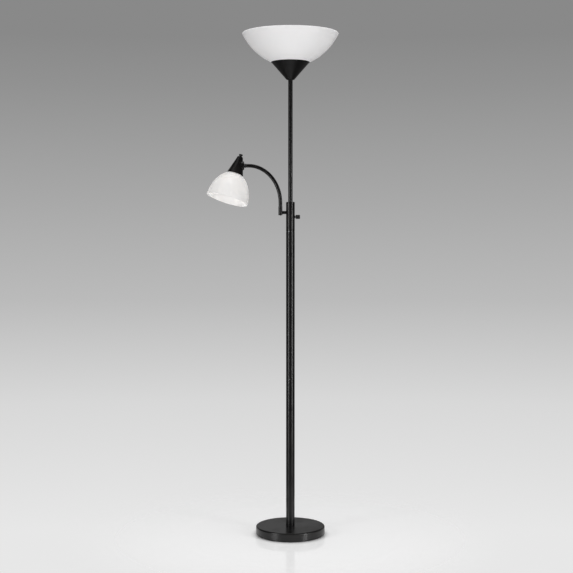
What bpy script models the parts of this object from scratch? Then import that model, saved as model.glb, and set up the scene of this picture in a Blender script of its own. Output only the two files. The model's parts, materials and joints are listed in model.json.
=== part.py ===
"""Torchiere floor lamp with a side reading light, as separate sub-parts.

Metres, +Z up. The origin is the centre of the base's underside, on the column's axis.
The reading arm leaves the column towards -X and the switch knob towards +X.
"""
import math

import bmesh
import bpy

# ---------------------------------------------------------------- driving dimensions (metres)
GAP = 0.0003                # clearance between pieces that touch
FACET_FINE = 40             # steps round the big turned pieces
FACET = 24                  # steps round the tubes and sockets
FACET_SMALL = 16            # steps round the small hardware
MERGE = 0.00001

PAD_R = 0.1190              # stick-on pad under the base
PAD_T = 0.0040
BASE_R = 0.1243             # stamped cover
BASE_TOP = 0.0325
BASE_EDGE = 0.0050
COVER_T = 0.0010
WEIGHT_R = 0.1180
WEIGHT_T = 0.0100
WEIGHT_RIM_W = 0.0110
INLET_Z = 0.0130            # cord inlet, at the back of the base

COLUMN_R = 0.0155           # column and switch sleeve
COLUMN_WALL = 0.0010
COLUMN_JOINT = 0.5640
SLEEVE_BOTTOM = 1.0957
SLEEVE_TOP = 1.1982
CAP_TOP = 1.2012
POLE_R = 0.0079             # thin upper pole
POLE_WALL = 0.0010
POLE_BOTTOM = 1.1836

SWITCH_Z = 1.1480
KNOB_R = 0.0072
KNOB_NEAR = 0.0189
KNOB_FAR = 0.0347

CUP_BOTTOM = 1.6358         # black cone under the bowl
CUP_TOP = 1.6984
CUP_FOOT_R = 0.0136
CUP_RIM_R = 0.0695
CUP_WALL = 0.0008
BOWL_TOP = 1.8000
BOWL_A = 0.2003             # half axes of the bowl's elliptical section
BOWL_B = 0.2343
BOWL_CENTRE = 1.9190        # height of that ellipse's centre, above the rim
BOWL_WALL = 0.0026
SHADE_HOLE_R = 0.0206       # hole in both shades, round the sockets
SOCKET_R = 0.0194

ARM_AXIS_X = -0.0358        # vertical axis that the arm swings about
ARM_R = 0.0067
ARM_WALL = 0.0010
ARM_SPRING_Z = 1.1980       # where the arm starts to curve
ARM_END_Z = 1.3306          # its level end, which the head tilts about
ARM_CURVE_X = -0.1500       # where the curve ends
ARM_TUBE_END_X = -0.1586
ARM_TUBE_BOTTOM = 1.1905
STUB_Z = 1.1636
STUB_R = 0.0057
FERRULE_R = 0.0071
FERRULE_TOP = 1.1863
FERRULE_BOTTOM = 1.1548
BOSS_FACE_X = -0.1656
BOSS_R = 0.0155

HEAD_LEAN = math.radians(16.6)      # lean of the reading head in the arm's plane
HEAD_TILT = math.radians(9.9)       # its tilt about the arm's end, mouth forward
HEAD_X = -0.1968                    # middle of the cup's mouth, before the tilt
HEAD_Z = 1.3040
HEAD_CUP_MOUTH = -0.0050            # heights along the head's own axis
HEAD_CUP_TOP = 0.0613
HEAD_CUP_MOUTH_R = 0.0299
HEAD_CUP_TOP_R = 0.0097
SHADE_A = 0.0755                    # half axes of the reading shade's section
SHADE_B = 0.1075
SHADE_EQUATOR = -0.1050
SHADE_RIM = -0.1015
SHADE_WALL = 0.0022

for old in list(bpy.data.objects):
    bpy.data.objects.remove(old, do_unlink=True)

lamp = bpy.data.collections.new("torchiere_floor_lamp")
cutters = bpy.data.collections.new("cutters")
bpy.context.scene.collection.children.link(lamp)
bpy.context.scene.collection.children.link(cutters)


# ---------------------------------------------------------------- materials
def finish(name, rgb, roughness, metallic=0.0):
    """A Principled material with one colour."""
    made = bpy.data.materials.new(name)
    made.use_nodes = True
    shader = made.node_tree.nodes["Principled BSDF"]
    shader.inputs["Base Color"].default_value = (*rgb, 1.0)
    shader.inputs["Roughness"].default_value = roughness
    shader.inputs["Metallic"].default_value = metallic
    return made


BLACK_PAINT = finish("black_paint", (0.018, 0.017, 0.018), 0.38)
BLACK_PLASTIC = finish("black_plastic", (0.015, 0.015, 0.016), 0.5)
SHADE_WHITE = finish("shade_white", (0.86, 0.85, 0.83), 0.35)
IRON = finish("cast_iron", (0.09, 0.09, 0.09), 0.75, 0.6)
ZINC = finish("zinc_steel", (0.62, 0.63, 0.65), 0.35, 1.0)
BRASS = finish("brass", (0.75, 0.58, 0.27), 0.32, 1.0)
BULB_ALUMINIUM = finish("bulb_cap_aluminium", (0.78, 0.78, 0.79), 0.3, 1.0)
PHENOLIC = finish("socket_phenolic", (0.03, 0.028, 0.027), 0.4)
NYLON = finish("black_nylon", (0.02, 0.02, 0.021), 0.5)
OPAL_GLASS = finish("bulb_glass", (0.92, 0.91, 0.88), 0.25)
LEAD_PVC = finish("lead_insulation", (0.05, 0.05, 0.05), 0.6)


# ---------------------------------------------------------------- making pieces
def place(obj, material=None, at=(0, 0, 0), turn=(0, 0, 0), parent=None):
    """Puts a piece (or, with no material, a cutter) into the scene."""
    obj.location = at
    obj.rotation_euler = turn
    obj.parent = parent
    if material is None:
        cutters.objects.link(obj)
        obj.hide_render = True
        obj.display_type = "WIRE"
    else:
        obj.data.materials.append(material)
        lamp.objects.link(obj)
    return obj


def turned(name, profile, material=None, steps=FACET, **where):
    """A turned piece: (radius, height) points from the top, down the outside, and back."""
    mesh = bpy.data.meshes.new(name)
    points = [(radius, 0.0, height) for radius, height in profile]
    edges = [(i, i + 1) for i in range(len(points) - 1)]
    if profile[0][0] > 0.0:
        edges.append((len(points) - 1, 0))
    mesh.from_pydata(points, edges, [])
    obj = bpy.data.objects.new(name, mesh)
    spin = obj.modifiers.new("Spin", "SCREW")
    spin.steps = steps
    spin.render_steps = steps
    spin.use_merge_vertices = True
    spin.merge_threshold = MERGE
    spin.use_smooth_shade = True
    return place(obj, material, **where)


def tube(name, outer, inner, top, bottom, material, steps=FACET, **where):
    """A straight tube along the piece's own Z."""
    ring = [(outer, top), (outer, bottom), (inner, bottom), (inner, top)]
    return turned(name, ring, material, steps, **where)


def rod(name, radius, top, bottom, material=None, steps=FACET_SMALL, **where):
    """A solid round bar along the piece's own Z."""
    return turned(name, [(0, top), (radius, top), (radius, bottom), (0, bottom)], material, steps, **where)


def circle(radius, count, phase=0.0):
    """Points round a circle."""
    turn = 2 * math.pi / count
    return [(radius * math.cos(i * turn + phase), radius * math.sin(i * turn + phase)) for i in range(count)]


def plate(name, outlines, thickness, material, **where):
    """A flat piece cut from sheet: the first outline is its edge and the others are holes."""
    curve = bpy.data.curves.new(name, "CURVE")
    curve.dimensions = "2D"
    curve.fill_mode = "BOTH"
    curve.extrude = thickness / 2
    for outline in outlines:
        spline = curve.splines.new("POLY")
        spline.points.add(len(outline) - 1)
        for point, (x, y) in zip(spline.points, outline):
            point.co = (x, y, 0, 1)
        spline.use_cyclic_u = True
    return place(bpy.data.objects.new(name, curve), material, **where)


def hex_nut(name, across_flats, bore, thickness, material=ZINC, **where):
    """A hexagon nut."""
    corners = circle(across_flats / math.sqrt(3), 6, math.pi / 6)
    return plate(name, [corners, circle(bore, FACET_SMALL)], thickness, material, **where)


def washer(name, radius, bore, thickness, material=ZINC, **where):
    """A flat round washer."""
    return plate(name, [circle(radius, FACET_SMALL), circle(bore, FACET_SMALL)], thickness, material, **where)


def swept(name, route, radius, sides, filled, material, parent=None):
    """A round bar or tube skin along a route of points."""
    curve = bpy.data.curves.new(name, "CURVE")
    curve.dimensions = "3D"
    curve.bevel_depth = radius
    curve.bevel_resolution = (sides - 4) // 2
    curve.use_fill_caps = filled
    spline = curve.splines.new("POLY")
    spline.points.add(len(route) - 1)
    for point, (x, y, z) in zip(spline.points, route):
        point.co = (x, y, z, 1)
    return place(bpy.data.objects.new(name, curve), material, parent=parent)


def as_mesh(obj):
    """Turns a curve object into a mesh object of the same name, with its caps welded."""
    bpy.context.view_layer.update()
    evaluated = obj.evaluated_get(bpy.context.evaluated_depsgraph_get())
    mesh = bpy.data.meshes.new_from_object(evaluated)
    work = bmesh.new()
    work.from_mesh(mesh)
    bmesh.ops.remove_doubles(work, verts=work.verts, dist=MERGE)
    work.to_mesh(mesh)
    work.free()
    name = obj.name
    matrix = obj.matrix_world.copy()
    home = obj.users_collection[0]
    bpy.data.objects.remove(obj, do_unlink=True)
    made = bpy.data.objects.new(name, mesh)
    made.matrix_world = matrix
    home.objects.link(made)
    return made


def cut(obj, *tools, operation="DIFFERENCE"):
    """Cuts tools out of a piece, or joins them to it."""
    for tool in tools:
        boolean = obj.modifiers.new(operation.title(), "BOOLEAN")
        boolean.operation = operation
        boolean.solver = "EXACT"
        boolean.object = tool
    return obj


def frame_at(name, at, turn=(0, 0, 0), parent=None):
    """An empty that other pieces hang on."""
    empty = bpy.data.objects.new(name, None)
    empty.location = at
    empty.rotation_euler = turn
    empty.parent = parent
    lamp.objects.link(empty)
    return empty


ALONG_X = (0, math.pi / 2, 0)       # turns a piece's own Z to +X
ALONG_Y = (-math.pi / 2, 0, 0)      # turns a piece's own Z to +Y


# ---------------------------------------------------------------- weighted base
def base_pad():
    """Full disc of dense foam that the lamp stands on."""
    rod("base_pad", PAD_R, PAD_T, 0.0, BLACK_PLASTIC, FACET_FINE)


def base_cover():
    """Stamped steel cover with a rounded top edge, a centre hole and the inlet hole."""
    hole = 0.0054
    corner = [math.radians(a) for a in (90, 60, 30, 0)]
    inner_edge = BASE_EDGE - COVER_T
    centre_r = BASE_R - BASE_EDGE
    centre_z = BASE_TOP - BASE_EDGE
    skirt = PAD_T + GAP
    profile = [(hole, BASE_TOP)]
    profile += [(centre_r + BASE_EDGE * math.cos(a), centre_z + BASE_EDGE * math.sin(a)) for a in corner]
    profile += [(BASE_R, skirt), (BASE_R - COVER_T, skirt)]
    profile += [(centre_r + inner_edge * math.cos(a), centre_z + inner_edge * math.sin(a))
                for a in reversed(corner)]
    profile += [(hole, BASE_TOP - COVER_T)]
    cover = turned("base_cover", profile, BLACK_PAINT, FACET_FINE)
    inlet = rod("inlet_cutter", 0.0041, 0.006, -0.006, at=(0, BASE_R, INLET_Z), turn=ALONG_Y)
    cut(cover, inlet)


def base_weight():
    """Cast disc with a rim that reaches down to the pad, notched for the leads."""
    top = BASE_TOP - COVER_T - GAP
    under = top - WEIGHT_T
    rim_r = WEIGHT_R - WEIGHT_RIM_W
    hole = 0.0054
    profile = [(hole, top), (WEIGHT_R - 0.003, top), (WEIGHT_R, top - 0.003), (WEIGHT_R, PAD_T + GAP),
               (rim_r, PAD_T + GAP), (rim_r - 0.002, under), (hole, under)]
    weight = turned("base_weight", profile, IRON, FACET_FINE)
    notch = rod("lead_notch_cutter", 0.0045, 0.02, -0.02, at=(0, WEIGHT_R, INLET_Z), turn=ALONG_Y)
    cut(weight, notch)


def base_hardware():
    """Hollow threaded stud, washer and nut that clamp the weight and cover to the column."""
    under = BASE_TOP - COVER_T - GAP - WEIGHT_T
    washer_t = 0.0015
    nut_t = 0.0060
    washer("base_washer", 0.0120, 0.0053, washer_t, at=(0, 0, under - GAP - washer_t / 2))
    nut_z = under - 2 * GAP - washer_t - nut_t / 2
    hex_nut("base_nut", 0.0160, 0.0053, nut_t, at=(0, 0, nut_z))
    tube("base_stud", 0.0049, 0.0033, 0.0620, nut_z - nut_t / 2 - 0.002, ZINC, FACET_SMALL)


def inlet_grommet():
    """Bushing in the back of the cover where the supply cord goes in."""
    outside = 0.0018
    inside = -0.0046
    neck_r = 0.0037
    bore = 0.0025
    face = -COVER_T - 3 * GAP
    profile = [(bore, outside), (0.0050, outside), (0.0056, outside - 0.0006), (0.0056, GAP), (neck_r, GAP),
               (neck_r, face), (0.0050, face), (0.0042, inside), (bore, inside)]
    turned("inlet_grommet", profile, BLACK_PLASTIC, FACET_SMALL, at=(0, BASE_R, INLET_Z), turn=ALONG_Y)


# ---------------------------------------------------------------- column and upper pole
def column():
    """Two tubes screwed together over an inner coupler, on a threaded foot."""
    bore = COLUMN_R - COLUMN_WALL
    foot = BASE_TOP + GAP
    fit_r = bore - GAP
    turned("column_foot_insert", [(0.0052, 0.0570), (fit_r, 0.0570), (fit_r, foot), (0.0052, foot)], ZINC)
    tube("column_lower_tube", COLUMN_R, bore, COLUMN_JOINT, foot, BLACK_PAINT)
    tube("column_coupler", fit_r, fit_r - 0.0016, COLUMN_JOINT + 0.022, COLUMN_JOINT - 0.022, ZINC)
    tube("column_upper_tube", COLUMN_R, bore, SLEEVE_BOTTOM - GAP, COLUMN_JOINT + GAP, BLACK_PAINT)
    tube("sleeve_coupler", fit_r, fit_r - 0.0016, SLEEVE_BOTTOM + 0.015, SLEEVE_BOTTOM - 0.020, ZINC)


def switch_sleeve():
    """Short tube that carries the switch on one side and the reading arm on the other."""
    sleeve = tube("switch_sleeve", COLUMN_R, COLUMN_R - COLUMN_WALL, SLEEVE_TOP, SLEEVE_BOTTOM, BLACK_PAINT)
    switch_hole = rod("switch_hole_cutter", 0.0039, 0.010, -0.010, at=(COLUMN_R, 0, SWITCH_Z), turn=ALONG_X)
    stub_hole = rod("stub_hole_cutter", 0.0049, 0.010, -0.010, at=(-COLUMN_R, 0, STUB_Z), turn=ALONG_X)
    cut(sleeve, switch_hole, stub_hole)


def column_cap():
    """Turned reducer between the sleeve and the thin pole."""
    socket_r = POLE_R + GAP
    spigot = COLUMN_R - COLUMN_WALL - GAP
    bottom = 1.1780
    seat = POLE_BOTTOM - GAP
    lip = 0.0040
    profile = [(socket_r, CAP_TOP), (COLUMN_R - 0.0008, CAP_TOP), (COLUMN_R, CAP_TOP - 0.0008),
               (COLUMN_R, SLEEVE_TOP + GAP), (spigot, SLEEVE_TOP + GAP), (spigot, bottom), (lip, bottom),
               (lip, seat), (socket_r, seat)]
    turned("column_cap", profile, BLACK_PAINT)


def upper_pole():
    """Thin tube from the cap up to the cup, with a shouldered threaded nipple in its end."""
    top = CUP_BOTTOM - GAP
    tube("upper_pole", POLE_R, POLE_R - POLE_WALL, top, POLE_BOTTOM, BLACK_PAINT, FACET_SMALL)
    inside = POLE_R - POLE_WALL - GAP
    bore = 0.0030
    profile = [(bore, 1.6490), (0.0048, 1.6490), (0.0048, top), (inside, top), (inside, top - 0.025),
               (bore, top - 0.025)]
    turned("upper_nipple", profile, ZINC, FACET_SMALL)


# ---------------------------------------------------------------- switch
def switch():
    """Rotary switch block with a threaded bushing, its nut, shaft and fluted knob."""
    depth = 0.0133
    near = 0.0103
    mesh = bpy.data.meshes.new("switch_body")
    work = bmesh.new()
    bmesh.ops.create_cube(work, size=1.0)
    bmesh.ops.scale(work, vec=(depth, 0.0166, 0.0344), verts=work.verts)
    work.to_mesh(mesh)
    work.free()
    body = place(bpy.data.objects.new("switch_body", mesh), PHENOLIC, at=(near - depth / 2, 0, 1.1501))
    bushing = rod("bushing_tool", 0.0036, 0.0179, near - 0.004, at=(0, 0, SWITCH_Z), turn=ALONG_X)
    bore = rod("shaft_bore_cutter", 0.0025, 0.0200, 0.0030, at=(0, 0, SWITCH_Z), turn=ALONG_X)
    cut(body, bushing, operation="UNION")
    cut(body, bore)
    nut_t = 0.0018
    nut_x = COLUMN_R + GAP + nut_t / 2
    hex_nut("switch_nut", 0.0100, 0.0039, nut_t, BLACK_PAINT, at=(nut_x, 0, SWITCH_Z), turn=ALONG_X)
    bore_end = 0.0313
    rod("switch_shaft", 0.0022, bore_end - GAP, 0.0033, PHENOLIC, at=(0, 0, SWITCH_Z), turn=ALONG_X)
    switch_knob(bore_end)


def switch_knob(bore_end):
    """Knob with sixteen flutes and a domed end, on the shaft."""
    flutes = 16
    groove = 0.0007
    per_flute = 4
    count = flutes * per_flute
    outline = []
    for i in range(count):
        angle = 2 * math.pi * i / count
        radius = KNOB_R - groove * (0.5 - 0.5 * math.cos(flutes * angle))
        outline.append((radius * math.cos(angle), radius * math.sin(angle)))
    length = KNOB_FAR - KNOB_NEAR
    middle = (KNOB_FAR + KNOB_NEAR) / 2
    knob = as_mesh(plate("switch_knob", [outline], length, BLACK_PLASTIC,
                         at=(middle, 0, SWITCH_Z), turn=ALONG_X))
    crown = turned("knob_crown_tool", [(0, KNOB_FAR), (KNOB_R - 0.0022, KNOB_FAR - 0.0002),
                                       (KNOB_R - 0.0008, KNOB_FAR - 0.0009), (KNOB_R + 0.0003, KNOB_FAR - 0.0026),
                                       (KNOB_R + 0.0003, KNOB_NEAR - 0.001), (0, KNOB_NEAR - 0.001)],
                   steps=FACET, at=(0, 0, SWITCH_Z), turn=ALONG_X)
    bore = rod("knob_bore_cutter", 0.0025, bore_end, KNOB_NEAR - 0.002, at=(0, 0, SWITCH_Z), turn=ALONG_X)
    cut(knob, crown, operation="INTERSECT")
    cut(knob, bore)


# ---------------------------------------------------------------- sockets and bulbs
def lamp_socket(prefix, top, mouth, flange_top, neck, flip, **where):
    """Moulded socket with a brass screw liner. Heights are along its own axis; flip turns it over."""
    body_r = SOCKET_R
    cavity = 0.0152
    floor_t = 0.0100
    floor = top - floor_t * flip
    flange_t = 0.0022
    base = [(neck, top), (0.0120, top), (body_r, top - 0.0090 * flip), (body_r, flange_top),
            (0.0240, flange_top), (0.0240, flange_top - flange_t * flip), (body_r, flange_top - flange_t * flip),
            (body_r, mouth), (cavity, mouth), (cavity, floor), (neck, floor)]
    liner_end = mouth + 0.0020 * flip
    liner = [(0.0144, floor - 0.0030 * flip), (0.0144, liner_end), (0.0134, liner_end),
             (0.0134, floor - 0.0030 * flip)]
    if flip < 0:
        base.reverse()
        liner.reverse()
    turned(prefix + "_socket", base, PHENOLIC, **where)
    turned(prefix + "_socket_liner", liner, BRASS, **where)


def light_bulb(prefix, contact, mouth, tip, globe_r, flip, **where):
    """Screw cap and opal envelope. The envelope's neck is slim up to the socket's mouth and open in the cap."""
    cap_r = 0.0130
    wall = 0.0008
    skirt = contact - 0.0240 * flip
    cap = [(0, contact), (0.0048, contact), (0.0052, contact - 0.0014 * flip), (0.0100, contact - 0.0046 * flip),
           (cap_r, contact - 0.0060 * flip), (cap_r, skirt), (cap_r - wall, skirt),
           (cap_r - wall, contact - 0.0068 * flip), (0, contact - 0.0068 * flip)]
    neck_r = cap_r - wall - GAP
    centre = abs(tip - contact) - globe_r
    neck_end = abs(mouth - contact)
    swell = 0.0150
    outside = [(neck_r, abs(skirt - contact) - 0.0040), (neck_r, neck_end), (neck_r + 0.0016, neck_end + 0.0030)]
    for degrees in range(-45, 90, 22):
        angle = math.radians(degrees)
        stretch = 1.0 + (swell / globe_r) * max(0.0, -math.sin(angle))
        outside.append((globe_r * math.cos(angle), centre + globe_r * math.sin(angle) * stretch))
    outside.append((0, centre + globe_r))
    inside = [(max(0.0, radius - wall), height - wall * (radius < 0.001)) for radius, height in outside]
    envelope = [(radius, contact - height * flip) for radius, height in outside]
    envelope += [(radius, contact - height * flip) for radius, height in reversed(inside)]
    if flip < 0:
        cap.reverse()
        envelope.reverse()
    turned(prefix + "_bulb_cap", cap, BULB_ALUMINIUM, FACET_SMALL, **where)
    turned(prefix + "_bulb_glass", envelope, OPAL_GLASS, FACET_SMALL, **where)


def elliptic_shade(name, half_r, half_z, centre, rim, hole, wall, mirror, rows, **where):
    """Shade of elliptical section, open at the rim and holed at its crown. mirror is -1 for a bowl."""
    start = math.asin(abs(rim - centre) / half_z)
    end = math.acos(hole / half_r)
    outside = []
    inside = []
    for i in range(rows + 1):
        angle = start + (end - start) * i / rows
        outside.append((half_r * math.cos(angle), centre + mirror * half_z * math.sin(angle)))
    inner_r = half_r - wall
    inner_z = half_z - wall
    start = math.asin(abs(rim - centre) / inner_z)
    end = math.acos(hole / inner_r)
    for i in range(rows + 1):
        angle = start + (end - start) * i / rows
        inside.append((inner_r * math.cos(angle), centre + mirror * inner_z * math.sin(angle)))
    if mirror < 0:
        profile = outside + inside[::-1]
    else:
        profile = outside[::-1] + inside
    turned(name, profile, SHADE_WHITE, FACET_FINE, **where)


# ---------------------------------------------------------------- torchiere head
def torchiere_head():
    """Cone cup, locknut, socket, bowl and its ring, on the upper nipple."""
    hole = 0.0052
    slope = (CUP_RIM_R - CUP_FOOT_R) / (CUP_TOP - CUP_BOTTOM)
    wall = CUP_WALL * math.hypot(1, slope)
    floor = CUP_BOTTOM + CUP_WALL
    profile = [(CUP_RIM_R - wall, CUP_TOP), (CUP_RIM_R - 0.0003, CUP_TOP), (CUP_RIM_R, CUP_TOP - 0.0005),
               (CUP_FOOT_R + 0.0008, CUP_BOTTOM + 0.0010), (CUP_FOOT_R - 0.0010, CUP_BOTTOM), (hole, CUP_BOTTOM),
               (hole, floor), (CUP_FOOT_R + CUP_WALL * slope - wall, floor)]
    turned("torchiere_cup", profile, BLACK_PAINT, FACET_FINE)
    nut_t = 0.0045
    hex_nut("cup_locknut", 0.0150, 0.0052, nut_t, at=(0, 0, floor + GAP + nut_t / 2))
    lamp_socket("torchiere", 1.6450, 1.6990, 1.6834, 0.0051, -1)
    elliptic_shade("bowl_shade", BOWL_A, BOWL_B, BOWL_CENTRE, BOWL_TOP, SHADE_HOLE_R, BOWL_WALL, -1, 8)
    ring_top = 1.6946
    ring_bottom = 1.6899
    turned("bowl_ring", [(SOCKET_R + GAP, ring_top), (0.0262, ring_top), (0.0270, ring_top - 0.0008),
                         (0.0270, ring_bottom), (SOCKET_R + GAP, ring_bottom)], BLACK_PLASTIC)
    light_bulb("torchiere", 1.6595, 1.6990, 1.7690, 0.0300, -1)


# ---------------------------------------------------------------- reading arm
def arm_route(start_z, steps):
    """Centre line of the arm from the swing axis, up and over to where it runs level."""
    half_x = ARM_AXIS_X - ARM_CURVE_X
    half_z = ARM_END_Z - ARM_SPRING_Z
    route = [(ARM_AXIS_X, 0, start_z)]
    for i in range(steps + 1):
        angle = math.pi / 2 * i / steps
        route.append((ARM_CURVE_X + half_x * math.cos(angle), 0, ARM_SPRING_Z + half_z * math.sin(angle)))
    return route


def arm_bracket():
    """Stub through the sleeve, brazed to the upright ferrule that the arm turns in."""
    chamber_top = 1.1700
    profile = [(0.0045, FERRULE_TOP), (FERRULE_R - 0.0006, FERRULE_TOP), (FERRULE_R, FERRULE_TOP - 0.0006),
               (FERRULE_R, FERRULE_BOTTOM), (0.0054, FERRULE_BOTTOM), (0.0054, chamber_top), (0.0045, chamber_top)]
    bracket = turned("arm_bracket", profile, BLACK_PAINT, at=(ARM_AXIS_X, 0, 0))
    where = {"at": (0, 0, STUB_Z), "turn": ALONG_X}
    stub = rod("stub_tool", STUB_R, -COLUMN_R + 0.002, ARM_AXIS_X + 0.0061, **where)
    sleeve_shape = rod("sleeve_shape_cutter", COLUMN_R + GAP, 1.19, 1.13, steps=FACET)
    cut(stub, sleeve_shape)
    thread = rod("stub_thread_tool", 0.0046, -0.0075, ARM_AXIS_X + 0.0150, **where)
    bore = rod("stub_bore_cutter", 0.0032, 0.002, ARM_AXIS_X, **where)
    cut(bracket, stub, thread, operation="UNION")
    cut(bracket, bore)
    nut_t = 0.0032
    hex_nut("bracket_nut", 0.0120, 0.0049, nut_t, at=(-0.0100, 0, STUB_Z), turn=ALONG_X)
    cap = [(0, 1.1580), (0.0051, 1.1580), (0.0051, FERRULE_BOTTOM - GAP), (FERRULE_R, FERRULE_BOTTOM - GAP),
           (FERRULE_R - 0.0006, 1.1532), (FERRULE_R - 0.0020, 1.1524), (0, 1.1522)]
    turned("ferrule_cap", cap, BLACK_PAINT, at=(ARM_AXIS_X, 0, 0))


def arm_pivot():
    """Hollow pivot bush in the arm's foot, on a nylon washer, kept in by a ring below."""
    bore = 0.0027
    spigot = ARM_R - ARM_WALL - GAP
    foot = ARM_TUBE_BOTTOM - GAP
    collar_bottom = 1.1880
    shaft = 0.0042
    profile = [(bore, foot + 0.0110), (spigot, foot + 0.0110), (spigot, foot), (ARM_R, foot),
               (ARM_R, collar_bottom), (shaft, collar_bottom), (shaft, 1.1665), (bore, 1.1665)]
    turned("pivot_bush", profile, BLACK_PAINT, FACET_SMALL, at=(ARM_AXIS_X, 0, 0))
    washer_t = 0.0011
    washer("pivot_washer", 0.0070, shaft + GAP, washer_t, NYLON,
           at=(ARM_AXIS_X, 0, collar_bottom - GAP - washer_t / 2))
    ring_t = 0.0024
    washer("pivot_ring", 0.0051, shaft + 0.00025, ring_t, ZINC, at=(ARM_AXIS_X, 0, 1.1697 - ring_t / 2))


def arm_tube():
    """Bent steel tube, open at both ends."""
    route = arm_route(ARM_TUBE_BOTTOM, 12) + [(ARM_TUBE_END_X, 0, ARM_END_Z)]
    arm = as_mesh(swept("arm_tube", route, ARM_R, 14, False, BLACK_PAINT))
    wall = arm.modifiers.new("Wall", "SOLIDIFY")
    wall.thickness = ARM_WALL
    wall.offset = -1.0


def arm_end():
    """Threaded nipple out of the arm's end, its collar and the friction washer."""
    where = {"at": (0, 0, ARM_END_Z), "turn": ALONG_X}
    nipple_r = 0.0050
    bore = nipple_r + GAP
    tube("swivel_nipple", nipple_r, 0.0030, -0.1500, -0.1806, ZINC, FACET_SMALL, **where)
    far = ARM_TUBE_END_X - GAP
    near = -0.1643
    collar = [(bore, far), (0.0068, far), (0.0074, far - 0.0006), (0.0074, near), (bore, near)]
    turned("arm_end_collar", collar, BLACK_PAINT, FACET_SMALL, **where)
    friction_t = 0.0007
    washer("friction_washer", 0.0079, bore, friction_t, NYLON,
           at=(near - GAP - friction_t / 2, 0, ARM_END_Z), turn=ALONG_X)
    spring_t = 0.0011
    washer("swivel_spring_washer", 0.0072, bore, spring_t, ZINC, at=(-0.1738, 0, ARM_END_Z), turn=ALONG_X)
    nut_t = 0.0036
    hex_nut("swivel_nut", 0.0120, bore, nut_t, at=(-0.1766, 0, ARM_END_Z), turn=ALONG_X)


# ---------------------------------------------------------------- reading head
def reading_head():
    """Cone cup with its swivel boss, finial, nipple, socket, shade, ring and bulb."""
    tilt = frame_at("head_tilt_axis", (0, 0, ARM_END_Z), (-HEAD_TILT, 0, 0))
    own = frame_at("head_own_axis", (HEAD_X, 0, HEAD_Z - ARM_END_Z), (0, HEAD_LEAN, 0), tilt)
    reading_cup(tilt, own)
    finial = [(0, 0.0714), (0.0050, 0.0712), (0.0066, 0.0702), (0.0069, 0.0690), (0.0064, 0.0662),
              (0.0052, 0.0648), (0.0052, HEAD_CUP_TOP + GAP), (0.0042, HEAD_CUP_TOP + GAP), (0.0042, 0.0683),
              (0, 0.0683)]
    turned("reading_finial", finial, BLACK_PAINT, FACET_SMALL, parent=own)
    tube("reading_nipple", 0.0039, 0.0026, 0.0680, 0.0130, ZINC, FACET_SMALL, parent=own)
    lamp_socket("reading", 0.0200, -0.0260, 0.0015, 0.0042, 1, parent=own)
    elliptic_shade("reading_shade", SHADE_A, SHADE_B, SHADE_EQUATOR, SHADE_RIM, SHADE_HOLE_R, SHADE_WALL, 1, 8,
                   parent=own)
    ring_top = -0.0060
    ring_bottom = -0.0104
    turned("reading_shade_ring", [(SOCKET_R + GAP, ring_top), (0.0240, ring_top), (0.0248, ring_top - 0.0008),
                                  (0.0248, ring_bottom), (SOCKET_R + GAP, ring_bottom)], BLACK_PLASTIC, parent=own)
    light_bulb("reading", 0.0070, -0.0260, -0.0760, 0.0225, 1, parent=own)


def reading_cup(tilt, own):
    """Thin cone shell; the boss's flat face takes the arm's swivel."""
    slope = (HEAD_CUP_MOUTH_R - HEAD_CUP_TOP_R) / (HEAD_CUP_TOP - HEAD_CUP_MOUTH)
    wall = CUP_WALL * math.hypot(1, slope)
    skin = [(0, HEAD_CUP_TOP), (HEAD_CUP_TOP_R - 0.0012, HEAD_CUP_TOP), (HEAD_CUP_TOP_R, HEAD_CUP_TOP - 0.0012),
            (HEAD_CUP_MOUTH_R, HEAD_CUP_MOUTH), (0, HEAD_CUP_MOUTH)]
    cup = turned("reading_cup", skin, BLACK_PAINT, FACET_FINE, parent=own)
    roof = HEAD_CUP_TOP - 0.0016
    below = HEAD_CUP_MOUTH - 0.001
    inner_top_r = HEAD_CUP_TOP_R + slope * 0.0016 - wall
    inner_low_r = HEAD_CUP_MOUTH_R + slope * 0.001 - wall
    inner = turned("cup_hollow_cutter", [(0, roof), (inner_top_r, roof), (inner_low_r, below), (0, below)],
                   steps=FACET_FINE, parent=own)
    face = BOSS_FACE_X
    boss = turned("boss_tool", [(0, face), (BOSS_R - 0.0022, face), (BOSS_R - 0.0006, face - 0.0008),
                                (BOSS_R, face - 0.0024), (BOSS_R, face - 0.0150), (0, face - 0.0150)],
                  turn=ALONG_X, parent=tilt)
    swivel_hole = rod("swivel_hole_cutter", 0.0054, face + 0.004, face - 0.012, turn=ALONG_X, parent=tilt)
    nipple_hole = rod("nipple_hole_cutter", 0.0042, HEAD_CUP_TOP + 0.002, HEAD_CUP_TOP - 0.004, parent=own)
    cut(cup, boss, operation="UNION")
    cut(cup, inner, swivel_hole, nipple_hole)


# ---------------------------------------------------------------- internal wiring
def wiring():
    """Insulated pairs from the inlet to the switch, and on to each socket."""
    lead_r = 0.0013
    low = 0.0085
    inlet = BASE_R - 0.0052
    supply = [(0, inlet, INLET_Z), (0, inlet - 0.0100, 0.0125), (0, inlet - 0.0180, 0.0098),
              (0, 0.0700, low), (0, 0.0180, low), (0, 0.0080, low), (0, 0.0032, 0.0090), (0, 0.0008, 0.0104),
              (0, 0, 0.0130), (0, 0, 0.0300), (0, 0, 1.1326)]
    swept("supply_leads", supply, lead_r, 8, True, LEAD_PVC)
    swept("torchiere_leads", [(0, 0, 1.1676), (0, 0, 1.4), (0, 0, 1.6480)], lead_r, 8, True, LEAD_PVC)
    swept("bracket_leads", [(-0.0033, 0, STUB_Z), (-0.0200, 0, STUB_Z), (-0.0345, 0, STUB_Z)], 0.0010, 8,
          True, LEAD_PVC)
    route = arm_route(1.1656, 12) + [(-0.1802, 0, ARM_END_Z)]
    swept("arm_leads", route, 0.0010, 8, True, LEAD_PVC)


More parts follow.
